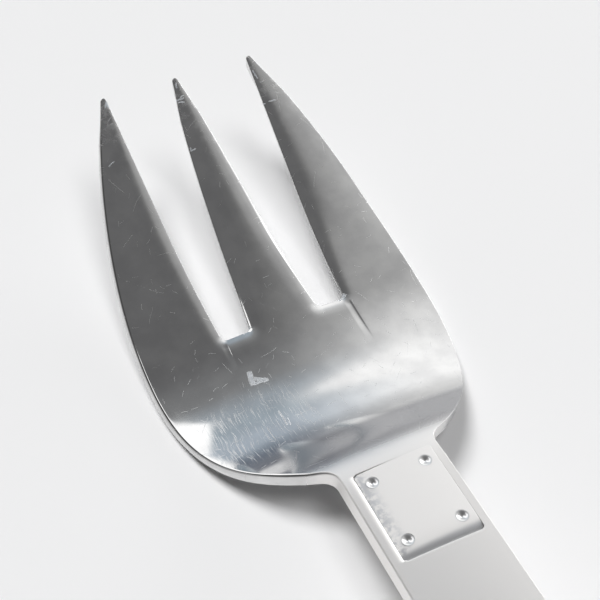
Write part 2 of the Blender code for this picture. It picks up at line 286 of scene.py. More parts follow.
def middle_x(y):
    """Half width of the middle tine, whose edges are convex and fullest two thirds of the way up."""
    share = middle_share(y)
    fullest = 2 / 3
    swell = share ** 2 * (1 - share) / (fullest ** 2 * (1 - fullest))
    return mix(MIDDLE_ROOT_WIDTH, TIP_WIDTH, share) / 2 + MIDDLE_BULGE * swell


def right_corners():
    """The outline's right half from the middle tip to the handle's end: corners with their radii."""
    middle_tip_y = TIP_Y - MIDDLE_TIP_SETBACK
    root_x = MIDDLE_ROOT_WIDTH / 2
    corners = [(TIP_WIDTH / 2, middle_tip_y, TIP_CORNER_RADIUS)]
    corners += [(middle_x(y), y, 0) for y in np.linspace(middle_tip_y, ROOT_Y, MIDDLE_STEPS + 1)[1:-1]]
    corners += [
        (root_x, ROOT_Y, SLOT_CORNER_RADIUS),
        (root_x + SLOT_ROOT_WIDTH, ROOT_Y, SLOT_CORNER_RADIUS),
        (TIP_WIDTH / 2 + SLOT_MOUTH_WIDTH, TIP_Y, TIP_CORNER_RADIUS),
        (leaf_x(TIP_Y), TIP_Y, TIP_CORNER_RADIUS),
    ]
    corners += [(leaf_x(y), y, 0) for y in np.linspace(TIP_Y, WIDEST_Y, LEAF_STEPS + 1)[1:]]
    last_angle = math.acos((NECK_WIDTH / 2 + SHOULDER_RADIUS) * 2 / HEAD_WIDTH)
    bowl_x = HEAD_WIDTH / 2 * np.cos(np.linspace(0, last_angle, BOWL_STEPS + 1)[1:])
    corners += [(x, bowl_y(x), 0) for x in bowl_x]
    corners.append((NECK_WIDTH / 2, bowl_y(NECK_WIDTH / 2), SHOULDER_RADIUS))
    flare_end = END_Y + FLARE_STOP * HANDLE_CORNER_RADIUS
    corners += [(strap_x(y), y, 0) for y in np.linspace(HANDLE_Y, flare_end, HANDLE_STEPS + 1)]
    corners.append((HANDLE_END_WIDTH / 2, END_Y, HANDLE_CORNER_RADIUS))
    return corners


def rounded(before, corner, after, radius):
    """Arc that rounds one corner, held to FILLET_LIMIT of the edges beside it."""
    to_before = before - corner
    to_after = after - corner
    half_angle = to_before.angle(to_after) / 2
    room = FILLET_LIMIT * min(to_before.length, to_after.length)
    run = min(radius / math.tan(half_angle), room)
    to_before.normalize()
    to_after.normalize()
    centre = corner + (to_before + to_after).normalized() * (run / math.cos(half_angle))
    start = corner + to_before * run - centre
    end = corner + to_after * run - centre
    turn = math.atan2(start.x * end.y - start.y * end.x, start.dot(end))
    return [centre + Matrix.Rotation(turn * i / ARC_STEPS, 2) @ start for i in range(ARC_STEPS + 1)]


def blank_outline():
    """Closed outline of the flat blank, counterclockwise, with the middle tine leaning a little."""
    right = right_corners()
    corners = right + [(-x, y, radius) for x, y, radius in reversed(right)]
    places = [Vector((x, y)) for x, y, radius in corners]
    points = []
    for i, place in enumerate(places):
        radius = corners[i][2]
        if radius:
            points += rounded(places[i - 1], place, places[(i + 1) % len(places)], radius)
        else:
            points.append(place)
    for point in points:
        if abs(point.x) < middle_x(point.y) + SLOT_ROOT_WIDTH / 2:
            point.x += MIDDLE_LEAN * ease(middle_share(point.y), 0, 1)
    return tapered(np.array(points)[::-1])


def tapered(points):
    """The outline with each tip drawn in towards its tine's own middle."""
    x, y = points.T
    outer_middle = np.sign(x) * (tine_edge(y) + half_width(y)) / 2
    middle = np.where(np.abs(x) > SLOT_MOUTH_WIDTH / 2, outer_middle, MIDDLE_LEAN)
    share = TIP_TAPER * ease(y, TIP_Y - TIP_TAPER_LENGTH, TIP_Y)
    return np.column_stack([mix(x, middle, share), y])


def outline_spacing(points):
    """How far apart the points of the final outline lie: closest in the small corners."""
    x, y = points.T
    spacing = mix(HANDLE_SPACING, HEAD_SPACING, ease(y, HANDLE_Y, NECK_Y))
    at_tip = ease(TIP_Y - y, *FINE_AT_TIP)
    at_root = (1 - ease(np.abs(y - ROOT_Y), *FINE_AT_ROOT)) * (np.abs(x) < FINE_ROOT_HALF_WIDTH)
    return mix(spacing, CORNER_SPACING, np.maximum(at_tip, at_root))


def respaced(points):
    """The same closed outline with evenly changing spacing."""
    closed = np.vstack([points, points[:1]])
    lengths = np.linalg.norm(np.diff(closed, axis=0), axis=1)
    steps = lengths / outline_spacing((closed[1:] + closed[:-1]) / 2)
    travelled = np.concatenate([[0], np.cumsum(steps)])
    stops = np.linspace(0, travelled[-1], int(travelled[-1]) + 1)[:-1]
    return np.column_stack([np.interp(stops, travelled, closed[:, axis]) for axis in (0, 1)])


def outward_normals(points):
    """Outward directions of a closed counterclockwise outline."""
    along = unit(np.roll(points, -1, axis=0) - np.roll(points, 1, axis=0))
    return np.column_stack([along[:, 1], -along[:, 0]])


# Pressed shape of the blank


def face_height(y):
    """Height of the face over its lowest point on the centre line, from the tips to the end of the neck."""
    tine = SWEEP_RADIUS * (1 - math.cos(TINE_ANGLE)) + (y - SWEEP_Y) * math.tan(TINE_ANGLE)
    ahead = np.clip(y - LOWEST_Y, 0, SWEEP_Y - LOWEST_Y)
    sweep = SWEEP_RADIUS - np.sqrt(SWEEP_RADIUS ** 2 - ahead ** 2)
    behind = np.clip(LOWEST_Y - y, 0, LOWEST_Y - WALL_Y)
    base = BASE_RADIUS - np.sqrt(BASE_RADIUS ** 2 - behind ** 2)
    wall_start = BASE_RADIUS * (1 - math.cos(BASE_ANGLE))
    wall = wall_start + (WALL_Y - y) * math.tan(BASE_ANGLE)
    brow_start = wall_start + BASE_WALL_LENGTH * math.sin(BASE_ANGLE)
    wall_sine = math.sin(BASE_ANGLE)
    turn = np.clip(wall_sine - (BROW_Y - y) / BROW_RADIUS, math.sin(NECK_ANGLE), wall_sine)
    brow = brow_start + BROW_RADIUS * (np.sqrt(1 - turn ** 2) - math.cos(BASE_ANGLE))
    neck_start = brow_start + BROW_RADIUS * (math.cos(NECK_ANGLE) - math.cos(BASE_ANGLE))
    neck = neck_start + (NECK_Y - y) * math.tan(NECK_ANGLE)
    stretches = [y >= SWEEP_Y, y >= LOWEST_Y, y >= WALL_Y, y >= BROW_Y, y >= NECK_Y]
    return np.select(stretches, [tine, sweep, base, wall, brow], neck)


def handle_height(y, end_height):
    """Height of the handle's face: a parabola that leaves the neck smoothly and comes down to its end."""
    run = HANDLE_Y - END_Y
    share = (HANDLE_Y - y) / run
    rise = run * math.tan(NECK_ANGLE)
    start = face_height(np.array(HANDLE_Y))
    return start + rise * share - (start + rise - end_height) * share ** 2


def crown(x):
    """How far the crowned face falls away from the centre line at x."""
    return x ** 2 / (2 * CROWN_RADIUS)


def tine_edge(y):
    """Inner edge of an outer tine."""
    share = (y - ROOT_Y) / (TIP_Y - ROOT_Y)
    root_x = MIDDLE_ROOT_WIDTH / 2 + SLOT_ROOT_WIDTH
    return mix(root_x, TIP_WIDTH / 2 + SLOT_MOUTH_WIDTH, np.clip(share, 0, 1))


def tine_drop(x, y):
    """How far each tine's own crown falls away from its middle; it fades out towards the root."""
    lean = MIDDLE_LEAN * ease(middle_share(y), 0, 1)
    middle = middle_x(y)
    edge = tine_edge(y)
    outer_half = np.maximum((half_width(y) - edge) / 2, TIP_WIDTH / 2)
    across = np.abs(x)
    middle_fall = middle * np.minimum(np.abs(x - lean) / middle, 1) ** 2
    outer_fall = outer_half * ((across - edge) / outer_half - 1) ** 2
    fall = np.where(across > (middle + edge) / 2, outer_fall, middle_fall)
    return TINE_CROWN / 2 * fall * ease(y, ROOT_Y, ROOT_Y + CROWN_FADE)


def crease_x(y, start):
    return start + CREASE_SPREAD * (ROOT_Y - y)


def crease_drop(x, y):
    """Depth of the fine creases that run back into the palm from the outer corners of the slots."""
    depth = 0.0
    for side, start, length in CREASES:
        offset = x - side * crease_x(y, start)
        across = np.minimum(np.maximum(-offset / CREASE_LEFT_WIDTH, offset / CREASE_RIGHT_WIDTH), 1)
        start_fade = ease(y, ROOT_Y - length, ROOT_Y - CREASE_FULL_SHARE * length)
        end_fade = 1 - ease(ROOT_Y - y, *CREASE_END)
        depth = depth + CREASE_DEPTH * (1 - across ** 2) ** 2 * start_fade * end_fade
    return depth


def centre_thickness(y):
    head = mix(HEAD_THICKNESS, TIP_THICKNESS, ease(y, LOWEST_Y, TIP_Y))
    throat = mix(HEAD_THICKNESS, NECK_THICKNESS, ease(y, LOWEST_Y, NECK_Y))
    strap = mix(NECK_THICKNESS, HANDLE_END_THICKNESS, ease(y, HANDLE_Y, END_Y))
    return np.select([y >= LOWEST_Y, y >= NECK_Y], [head, throat], strap)


def underside_height(x, y, face):
    """Height of the underside: it thins to the rim on the head and is flat across the strap."""
    width = half_width(y)
    rim = face - crown(width) - RIM_THICKNESS
    share = np.clip(np.abs(x) / width, 0, 1) ** 2 * (1 - ease(y, LOWEST_Y, NECK_Y))
    return mix(face - centre_thickness(y), rim, share)


class Blank:
    """The fork's outline with the pressed heights over it."""

    def __init__(self):
        rough = blank_outline()
        head = rough[rough[:, 1] > NECK_Y]
        self.table = underside_height(head[:, 0], head[:, 1], face_height(head[:, 1])).min()
        self.points = respaced(rough)
        self.normals = outward_normals(self.points)
        x, y = self.points.T
        at_tip = ease(TIP_Y - y, *TIP_BLEND)
        on_strap = ease(y, NECK_Y + STRAP_BLEND, NECK_Y)
        to_right = ease(self.normals[:, 0], -SIDE_BLEND, SIDE_BLEND)
        rolled = (y > ROOT_Y - SLOT_ROLL_REACH) & (np.abs(x) < (tine_edge(y) + half_width(y)) / 2)
        head_radius = np.where(rolled, SLOT_EDGE_RADIUS, EDGE_RADIUS)
        wide_radius = mix(mix(head_radius, TIP_EDGE_RADIUS, at_tip), STRAP_EDGE_RADIUS, on_strap)
        self.edge_radius = mix(wide_radius, FINE_EDGE_RADIUS, to_right)
        self.back_radius = mix(BACK_EDGE_RADIUS, TIP_EDGE_RADIUS, at_tip)
        room = middle_x(np.maximum(y, ROOT_Y))
        self.roll_width = np.minimum(np.where(rolled, SLOT_ROLL_WIDTH, ROLL_WIDTH), ROLL_LIMIT * room)
        slot_slope = mix(SLOT_ROLL_SLOPE, TIP_ROLL_SLOPE, ease(y - ROOT_Y, *TIP_ROLL_BLEND))
        rim_slope = mix(ROLL_SLOPE, FINE_ROLL_SLOPE, to_right)
        self.roll_slope = np.where(rolled, slot_slope, rim_slope) * (1 - on_strap)
        outward = np.maximum(np.sign(x) * self.normals[:, 0], 0) * (1 - on_strap) * (1 - at_tip)
        outer_inset = outward * np.abs(x) / CROWN_RADIUS * RIM_THICKNESS
        across = ease(np.abs(self.normals[:, 0]), *SLOT_WALL_BLEND) * (1 - at_tip)
        thickness = centre_thickness(y)
        slot_inset = np.minimum(SLOT_WALL_LEAN * thickness, SLOT_WALL_LIMIT * room)
        self.side_inset = np.where(rolled, slot_inset * across, outer_inset)
        self.side_lean = self.side_inset / np.where(rolled, thickness, RIM_THICKNESS)
        self.tree = KDTree(len(self.points))
        for i, (px, py) in enumerate(self.points):
            self.tree.insert((px, py, 0), i)
        self.tree.balance()

    def nearest(self, places):
        """Nearest outline point, distance to the outline and direction away from it, for points in plan."""
        index = np.array([self.tree.find((x, y, 0))[1] for x, y in places])
        best = np.full(len(places), np.inf)
        foot = np.zeros_like(places)
        for step in (-1, 1):
            start = self.points[index]
            run = self.points[(index + step) % len(self.points)] - start
            share = np.clip(((places - start) * run).sum(1) / (run * run).sum(1), 0, 1)
            candidate = start + share[:, None] * run
            distance = np.linalg.norm(places - candidate, axis=1)
            closer = distance < best
            best[closer] = distance[closer]
            foot[closer] = candidate[closer]
        away = (places - foot) / np.maximum(best, LEAST_DISTANCE)[:, None]
        return index, best, away

    def face(self, y):
        """Height of the face on the centre line, blended a little where its curves meet."""
        shifts = np.linspace(-PROFILE_BLUR, PROFILE_BLUR, PROFILE_SAMPLES)
        blurred = sum(self.sharp_face(y + shift) for shift in shifts) / PROFILE_SAMPLES
        return np.where(y > NECK_Y - PROFILE_BLUR, blurred, self.sharp_face(y))

    def sharp_face(self, y):
        handle = handle_height(y, self.table + HANDLE_END_THICKNESS)
        return np.where(y >= HANDLE_Y, face_height(y), handle) - self.table

    def pressed(self, x, y):
        return self.face(y) - crown(x) - tine_drop(x, y) - crease_drop(x, y)

    def top(self, places, index, distance, away):
        """Heights and normals of the face, which rolls down towards its edges."""
        x, y = places.T
        width = self.roll_width[index]
        left = 1 - np.clip(distance / width, 0, 1)
        drop = self.roll_slope[index] * width / 3 * left ** 3
        roll = self.roll_slope[index] * left ** 2
        fall = slopes(self.pressed, x, y, FACE_SLOPE_STEP) + roll[:, None] * away
        return self.pressed(x, y) - drop, unit(with_height(-fall, 1.0))

    def bottom(self, places):
        """Heights and downward normals of the underside."""
        x, y = places.T

        def height(x, y):
            return underside_height(x, y, self.sharp_face(y))

        return height(x, y), unit(with_height(slopes(height, x, y, BACK_SLOPE_STEP), -1.0))


# Mesh building


def new_object(name, points, faces, material, matrix=None):
    """A smooth mesh object with one material."""
    mesh = bpy.data.meshes.new(name)
    mesh.from_pydata(points, [], faces)
    mesh.shade_smooth()
    mesh.materials.append(material)
    item = bpy.data.objects.new(name, mesh)
    bpy.context.collection.objects.link(item)
    if matrix is not None:
        item.matrix_world = matrix
    return item


def inside(places, starts, ends):
    """Whether points in plan lie inside closed loops of edges, by counting the edges on one side."""
    rise = ends[:, 1] - starts[:, 1]
    run_per_rise = (ends[:, 0] - starts[:, 0]) / np.where(rise == 0, 1, rise)
    found = []
    for chunk in np.array_split(places, len(places) // INSIDE_CHUNK + 1):
        x, y = chunk[:, :1], chunk[:, 1:]
        spans = (starts[:, 1] > y) != (ends[:, 1] > y)
        crossings = spans & (x < starts[:, 0] + (y - starts[:, 1]) * run_per_rise)
        found.append(crossings.sum(axis=1) % 2 == 1)
    return np.concatenate(found)


class Shell:
    """Points, faces and corner normals of one mesh."""

    def __init__(self):
        self.points = []
        self.faces = []
        self.normals = []

    def add(self, points):
        """Adds points and gives their numbers."""
        start = len(self.points)
        self.points += [tuple(point) for point in points]
        return np.arange(start, start + len(points))

    def plan(self, numbers):
        return np.array([self.points[number][:2] for number in numbers])

    def band(self, first, second, first_normals, second_normals):
        """Quads between two closed loops that run counterclockwise seen from above."""
        count = len(first)
        for i in range(count):
            j = (i + 1) % count
            self.faces.append((first[i], first[j], second[j], second[i]))
            self.normals += [first_normals[i], first_normals[j], second_normals[j], second_normals[i]]

    def loops(self, rings):
        """Bands through a row of (numbers, normals) rings."""
        for first, second in zip(rings, rings[1:]):
            self.band(first[0], second[0], first[1], second[1])

    def patch(self, loops, inner, normals, upward=True):
        """Triangles between closed loops and over inner points; normals come in the order of both."""
        numbers = np.concatenate(loops + [np.array(inner, int)])
        plan = self.plan(numbers) / MM
        edges = []
        start = 0
        for loop in loops:
            edges += [(start + i, start + (i + 1) % len(loop)) for i in range(len(loop))]
            start += len(loop)
        found = delaunay_2d_cdt([Vector(place) for place in plan], edges, [], 0, CDT_TOLERANCE, True)
        origin = np.array([places[0] for places in found[3]])
        triangles = origin[np.array(found[2])]
        starts, ends = plan[np.array(edges).T]
        triangles = triangles[inside(plan[triangles].mean(axis=1), starts, ends)]
        for corners in triangles if upward else triangles[:, ::-1]:
            self.faces.append(tuple(numbers[corners]))
            self.normals += list(normals[corners])

    def flat_patch(self, loops, normal, upward=True):
        """Triangles between closed loops with one normal."""
        self.patch(loops, [], np.tile(normal, (sum(len(loop) for loop in loops), 1)), upward)

    def make(self, name, material, matrix=None):
        """The finished object, with its exact normals."""
        faces = [[int(i) for i in face] for face in self.faces]
        item = new_object(name, self.points, faces, material, matrix)
        item.data.normals_split_custom_set([tuple(normal) for normal in self.normals])
        return item


def quarter(count):
    """Angles of a rounded edge, from the side round to the face."""
    return [math.pi / 2 * i / count for i in range(count + 1)]


def plate_outline(gap, spacing):
    """Closed counterclockwise outline of the pocket drawn in by a gap, with its outward directions."""
    half_x = POCKET_HALF_X - gap - PLATE_CORNER_RADIUS
    half_y = POCKET_HALF_Y - gap - PLATE_CORNER_RADIUS
    rows = []
    for side_x, side_y, start in ((1, 1, 0), (-1, 1, 90), (-1, -1, 180), (1, -1, 270)):
        for i in range(CORNER_STEPS + 1):
            angle = math.radians(start + 90 * i / CORNER_STEPS)
            way = np.array([math.cos(angle), math.sin(angle)])
            middle = np.array([side_x * half_x, PLATE_MIDDLE_Y + side_y * half_y])
            rows.append(np.concatenate([middle + PLATE_CORNER_RADIUS * way, way]))
    divided = []
    for row, following in zip(rows, rows[1:] + rows[:1]):
        count = max(1, round(np.linalg.norm((following - row)[:2]) / spacing))
        divided += [mix(row, following, k / count) for k in range(count)]
    places, ways = np.hsplit(np.array(divided), 2)
    return places, unit(ways)


def circle(centre, radius):
    angles = np.arange(ROUND_SEGMENTS) * 2 * math.pi / ROUND_SEGMENTS
    directions = np.column_stack([np.cos(angles), np.sin(angles)])
    return np.array(centre) + radius * directions, directions


def staggered_grid(low, high, spacing):
    """Points in staggered rows over a rectangle in plan."""
    points = []
    for i, y in enumerate(np.arange(low[1], high[1], spacing * ROW_SHARE)):
        points += [(x, y) for x in np.arange(low[0] + (i % 2) * spacing / 2, high[0], spacing)]
    return np.array(points)


# Fork body

PLATE_MIDDLE_Y = -CLEARANCE - PLATE_LENGTH / 2
POCKET_HALF_X = PLATE_WIDTH / 2 + CLEARANCE
POCKET_HALF_Y = PLATE_LENGTH / 2 + CLEARANCE


def rivet_places():
    """Node name and plan of each rivet, in the neck's frame."""
    x = PLATE_WIDTH / 2 - RIVET_INSET_SIDE
    front = -CLEARANCE - RIVET_INSET_FRONT
    back = -CLEARANCE - PLATE_LENGTH + RIVET_INSET_BACK
    for row, y in (("front", front), ("back", back)):
        yield f"rivet_{row}_left", (-x, y)
        yield f"rivet_{row}_right", (x, y)


def neck_matrix(blank):
    """The neck's own frame: on the face at the front of the straight neck, tilted with it."""
    height = float(blank.sharp_face(np.array(NECK_Y)))
    return Matrix.Translation((PLATE_OFFSET, NECK_Y, height)) @ Matrix.Rotation(-NECK_ANGLE, 4, "X")


def moved(matrix, points):
    return np.array([matrix @ Vector(point) for point in points])


def turned_directions(matrix, directions):
    return np.array([matrix.to_3x3() @ Vector(way) for way in directions])


def edge_rings(shell, blank):
    """Rings from the underside round the edge to the face; the first and last bound the two patches."""
    rings = []
    every = np.arange(len(blank.points))
    level = unit(with_height(blank.normals, -blank.side_lean))
    for angle in reversed(quarter(EDGE_STEPS)):
        inset = blank.back_radius * (1 - math.cos(angle)) + blank.side_inset
        places = blank.points - blank.normals * inset[:, None]
        heights, down = blank.bottom(places)
        lift = blank.back_radius * (1 - math.sin(angle))
        normals = unit(down * math.sin(angle) + level * math.cos(angle))
        rings.append((shell.add(with_height(places, heights + lift)), normals))
    for angle in quarter(EDGE_STEPS):
        inset = blank.edge_radius * (1 - math.cos(angle))
        places = blank.points - blank.normals * inset[:, None]
        heights, up = blank.top(places, every, inset, -blank.normals)
        drop = blank.edge_radius * (1 - math.sin(angle))
        normals = unit(up * math.sin(angle) + level * math.cos(angle))
        rings.append((shell.add(with_height(places, heights - drop)), normals))
    shell.loops(rings)
    return rings


def inner_places(blank, grid_scale):
    """Points in plan well inside the outline: rows along the edge, then a staggered grid."""
    found = []
    for depth in EDGE_ROWS:
        places = blank.points[::2] - blank.normals[::2] * (blank.edge_radius[::2] + depth)[:, None]
        index, distance, _ = blank.nearest(places)
        clear = distance > blank.edge_radius[index] + depth - EDGE_ROW_SLACK
        found.append(places[clear])
    for near, far, spacing in ((HANDLE_Y, TIP_Y, HEAD_GRID), (END_Y, HANDLE_Y, HANDLE_GRID)):
        places = staggered_grid((cad_low.x, near), (cad_high.x, far), spacing * grid_scale)
        index, distance, _ = blank.nearest(places)
        within = ((places - blank.points[index]) * blank.normals[index]).sum(1) < 0
        found.append(places[within & (distance > blank.edge_radius[index] + GRID_MARGIN)])
    for side, start, length in CREASES:
        crease_y = np.arange(ROOT_Y - length, ROOT_Y - CREASE_GRID_END, CREASE_GRID)
        for shift in np.linspace(-CREASE_LEFT_WIDTH, CREASE_RIGHT_WIDTH, CREASE_COLUMNS):
            found.append(np.column_stack([side * crease_x(crease_y, start) + shift, crease_y]))
    return np.vstack(found)


def seam_radius(ways, side, wide, fine):
    """Edge radius round the plate: wide on one side, fine on the others."""
    return mix(fine, wide, ease(ways @ np.array(side), *SEAM_BLEND))


def in_pocket(places):
    """Whether points in plan lie over the pocket or its lip."""
    x, y = places.T
    far = NECK_Y + POCKET_MARGIN
    near = NECK_Y - 2 * POCKET_HALF_Y * math.cos(NECK_ANGLE) - POCKET_MARGIN
    return (np.abs(x - PLATE_OFFSET) < POCKET_HALF_X + POCKET_MARGIN) & (near < y) & (y < far)


def pocket_rings(shell, blank, neck):
    """Rounded lip and walls of the pocket, from the face down to its floor."""
    outline, ways = plate_outline(0.0, HEAD_GRID)
    inward = turned_directions(neck, -flat(ways))
    left_radius = seam_radius(ways, (-1, 0), LIP_RADIUS, LIP_FINE_RADIUS)
    radius = np.maximum(left_radius, seam_radius(ways, (0, -1), LIP_NEAR_RADIUS, LIP_FINE_RADIUS))
    rings = []
    for angle in reversed(quarter(LIP_STEPS)):
        places = outline + ways * (radius * (1 - math.cos(angle)))[:, None]
        plan = moved(neck, flat(places))[:, :2]
        heights, up = blank.top(plan, *blank.nearest(plan))
        drop = LIP_FALL * radius * (1 - math.sin(angle))
        normals = unit(up * math.sin(angle) + LIP_FALL * inward * math.cos(angle))
        rings.append((shell.add(with_height(plan, heights - drop)), normals))
    rings.append((shell.add(moved(neck, with_height(outline, POCKET_FLOOR))), inward))
    shell.loops(rings)
    return rings


def rivet_holes(shell, matrix, radius, top, bottom):
    """Walls of four holes from heights given by top down to bottom; gives their upper and lower loops."""
    uppers = []
    lowers = []
    for _, place in rivet_places():
        outline, ways = circle(place, radius)
        inward = turned_directions(matrix, -flat(ways))
        upper = shell.add(moved(matrix, with_height(outline, top(outline))))
        lower = shell.add(moved(matrix, with_height(outline, bottom)))
        shell.band(upper, lower, inward, inward)
        uppers.append(upper)
        lowers.append(lower)
    return uppers, lowers


def clear_of_rivets(places, matrix, height, radius):
    """The points in plan that don't lie over a rivet hole at one height of the neck's frame."""
    for _, place in rivet_places():
        centre = np.array((matrix @ Vector((*place, height))).xy)
        places = places[np.linalg.norm(places - centre, axis=1) >= radius]
    return places


def make_body(blank, neck, material):
    """The pressed body: rolled face, rounded edges, pocket with rivet holes, and underside."""
    shell = Shell()
    rings = edge_rings(shell, blank)
    pocket = pocket_rings(shell, blank, neck)
    hole_radius = RIVET_SHANK_DIAMETER / 2 + RIVET_GAP
    uppers, lowers = rivet_holes(shell, neck, hole_radius, lambda places: POCKET_FLOOR, NECK_BACK)

    inner = inner_places(blank, 1)
    inner = inner[~in_pocket(inner)]
    heights, up = blank.top(inner, *blank.nearest(inner))
    numbers = shell.add(with_height(inner, heights))
    normals = np.vstack([rings[-1][1], pocket[0][1], up])
    shell.patch([rings[-1][0], pocket[0][0]], numbers, normals)

    floor_up = np.array(neck.to_3x3() @ Vector((0, 0, 1)))
    shell.flat_patch([pocket[-1][0]] + uppers, floor_up)

    under = inner_places(blank, BACK_GRID_SCALE)
    index, distance, _ = blank.nearest(under)
    under = under[distance > (blank.side_inset + blank.back_radius)[index] + BACK_MARGIN]
    under = clear_of_rivets(under, neck, NECK_BACK, hole_radius + HEAD_GRID / 2)
    heights, down = blank.bottom(under)
    numbers = shell.add(with_height(under, heights))
    back_normals = [blank.bottom(shell.plan(loop))[1] for loop in lowers]
    normals = np.vstack([rings[0][1]] + back_normals + [down])
    shell.patch([rings[0][0]] + lowers, numbers, normals, upward=False)
    return shell.make("fork_body_steel", material)


# Inlay plate and rivets


def plate_top(places):
    """Heights and normals of the plate's top in the neck's frame.

    It is arched across, with its crest to the right of the middle, and falls to its near edge.
    """
    across = (places[:, 0] / POCKET_HALF_X - PLATE_CREST) / (1 + PLATE_CREST)
    to_near = np.maximum((PLATE_MIDDLE_Y - places[:, 1]) / POCKET_HALF_Y, 0)
    power = PLATE_NEAR_POWER
    heights = PLATE_FACE - PLATE_PILLOW * across ** 2 - PLATE_NEAR_FALL * to_near ** power
    slope_x = -2 * PLATE_PILLOW * across / ((1 + PLATE_CREST) * POCKET_HALF_X)
    slope_y = power * PLATE_NEAR_FALL * to_near ** (power - 1) / POCKET_HALF_Y
    return heights, unit(with_height(np.column_stack([-slope_x, -slope_y]), 1.0))


def plate_heights(places):
    return plate_top(places)[0]


def make_plate(neck, material):
    """Satin plate that nearly fills the pocket, with rounded-off edges and four rivet holes."""
    shell = Shell()
    outline, ways = plate_outline(PLATE_GAP, PLATE_GRID)
    level = flat(ways)
    rings = [(shell.add(with_height(outline, PLATE_BOTTOM)), level)]
    radius = seam_radius(ways, (0, -1), PLATE_EDGE_RADIUS, PLATE_FINE_RADIUS)
    for angle in quarter(EDGE_STEPS):
        places = outline - ways * (radius * (1 - math.cos(angle)))[:, None]
        heights, up = plate_top(places)
        drop = radius * (1 - math.sin(angle))
        normals = unit(up * math.sin(angle) + level * math.cos(angle))
        rings.append((shell.add(with_height(places, heights - drop)), normals))
    shell.loops(rings)

    hole_radius = RIVET_HEAD_DIAMETER / 2 + RIVET_GAP
    own_frame = Matrix.Identity(4)
    uppers, lowers = rivet_holes(shell, own_frame, hole_radius, plate_heights, PLATE_BOTTOM)

    margin = PLATE_GAP + PLATE_EDGE_RADIUS + PLATE_GRID / 2
    half_size = np.array([POCKET_HALF_X - margin, POCKET_HALF_Y - margin])
    middle = np.array([0, PLATE_MIDDLE_Y])
    inner = staggered_grid(middle - half_size, middle + half_size, PLATE_GRID)
    inner = clear_of_rivets(inner, own_frame, 0, hole_radius + PLATE_GRID / 2)
    heights, up = plate_top(inner)
    numbers = shell.add(with_height(inner, heights))
    hole_normals = [plate_top(shell.plan(loop))[1] for loop in uppers]
    normals = np.vstack([rings[-1][1]] + hole_normals + [up])
    shell.patch([rings[-1][0]] + uppers, numbers, normals)

    shell.flat_patch([rings[0][0]] + lowers, (0.0, 0.0, -1.0), upward=False)
    return shell.make("inlay_plate_satin", material, neck)


def rivet_profile(height):
    """Tail, shank and dished head from axis to axis, as (radius, height) over the plate's top."""
    shank = RIVET_SHANK_DIAMETER / 2
    head = RIVET_HEAD_DIAMETER / 2
    dimple = head - DIMPLE_LIP
    tail = NECK_BACK - height
    seat = PLATE_BOTTOM - height
    profile = []
    for angle in quarter(TAIL_STEPS):
        profile.append((shank * math.sin(angle), tail - TAIL_DOME * math.cos(angle)))
    profile += [(shank, seat), (head, seat), (head, 0.0)]
    for i in range(DIMPLE_STEPS + 1):
        share = 1 - i / DIMPLE_STEPS
        profile.append((dimple * share, -DIMPLE_DEPTH * (1 + math.cos(math.pi * share)) / 2))
    return profile


def turned_mesh(profile):
    """Points and faces of a profile turned about the upright axis; both its ends lie on the axis."""
    count = ROUND_SEGMENTS
    pairs = [(i, (i + 1) % count) for i in range(count)]
    points = [(x, y, rise) for radius, rise in profile[1:-1] for x, y in circle((0, 0), radius)[0]]
    last = len(points) - count
    faces = []
    for start in range(0, last, count):
        after = start + count
        faces += [(start + i, start + j, after + j, after + i) for i, j in pairs]
    points += [(0, 0, profile[0][1]), (0, 0, profile[-1][1])]
    faces += [(j, i, last + count) for i, j in pairs]
    faces += [(last + i, last + j, last + count + 1) for i, j in pairs]
    return points, faces


def make_rivets(neck, material):
    """One dimpled rivet at each corner of the plate, with its node's name."""
    made = []
    for name, place in rivet_places():
        height = float(plate_heights(np.array([place]))[0])
        points, faces = turned_mesh(rivet_profile(height))
        matrix = neck @ Matrix.Translation((*place, height))
        rivet = new_object(f"{name}_steel", points, faces, material, matrix)
        rivet.data.set_sharp_from_angle(angle=SHARP_ANGLE)
        made.append((name, rivet))
    return made


# Materials


def colour(tone):
    """Colour with full cover from a grey or from red, green and blue."""
    return (tone, tone, tone, 1.0) if isinstance(tone, float) else (*tone, 1.0)


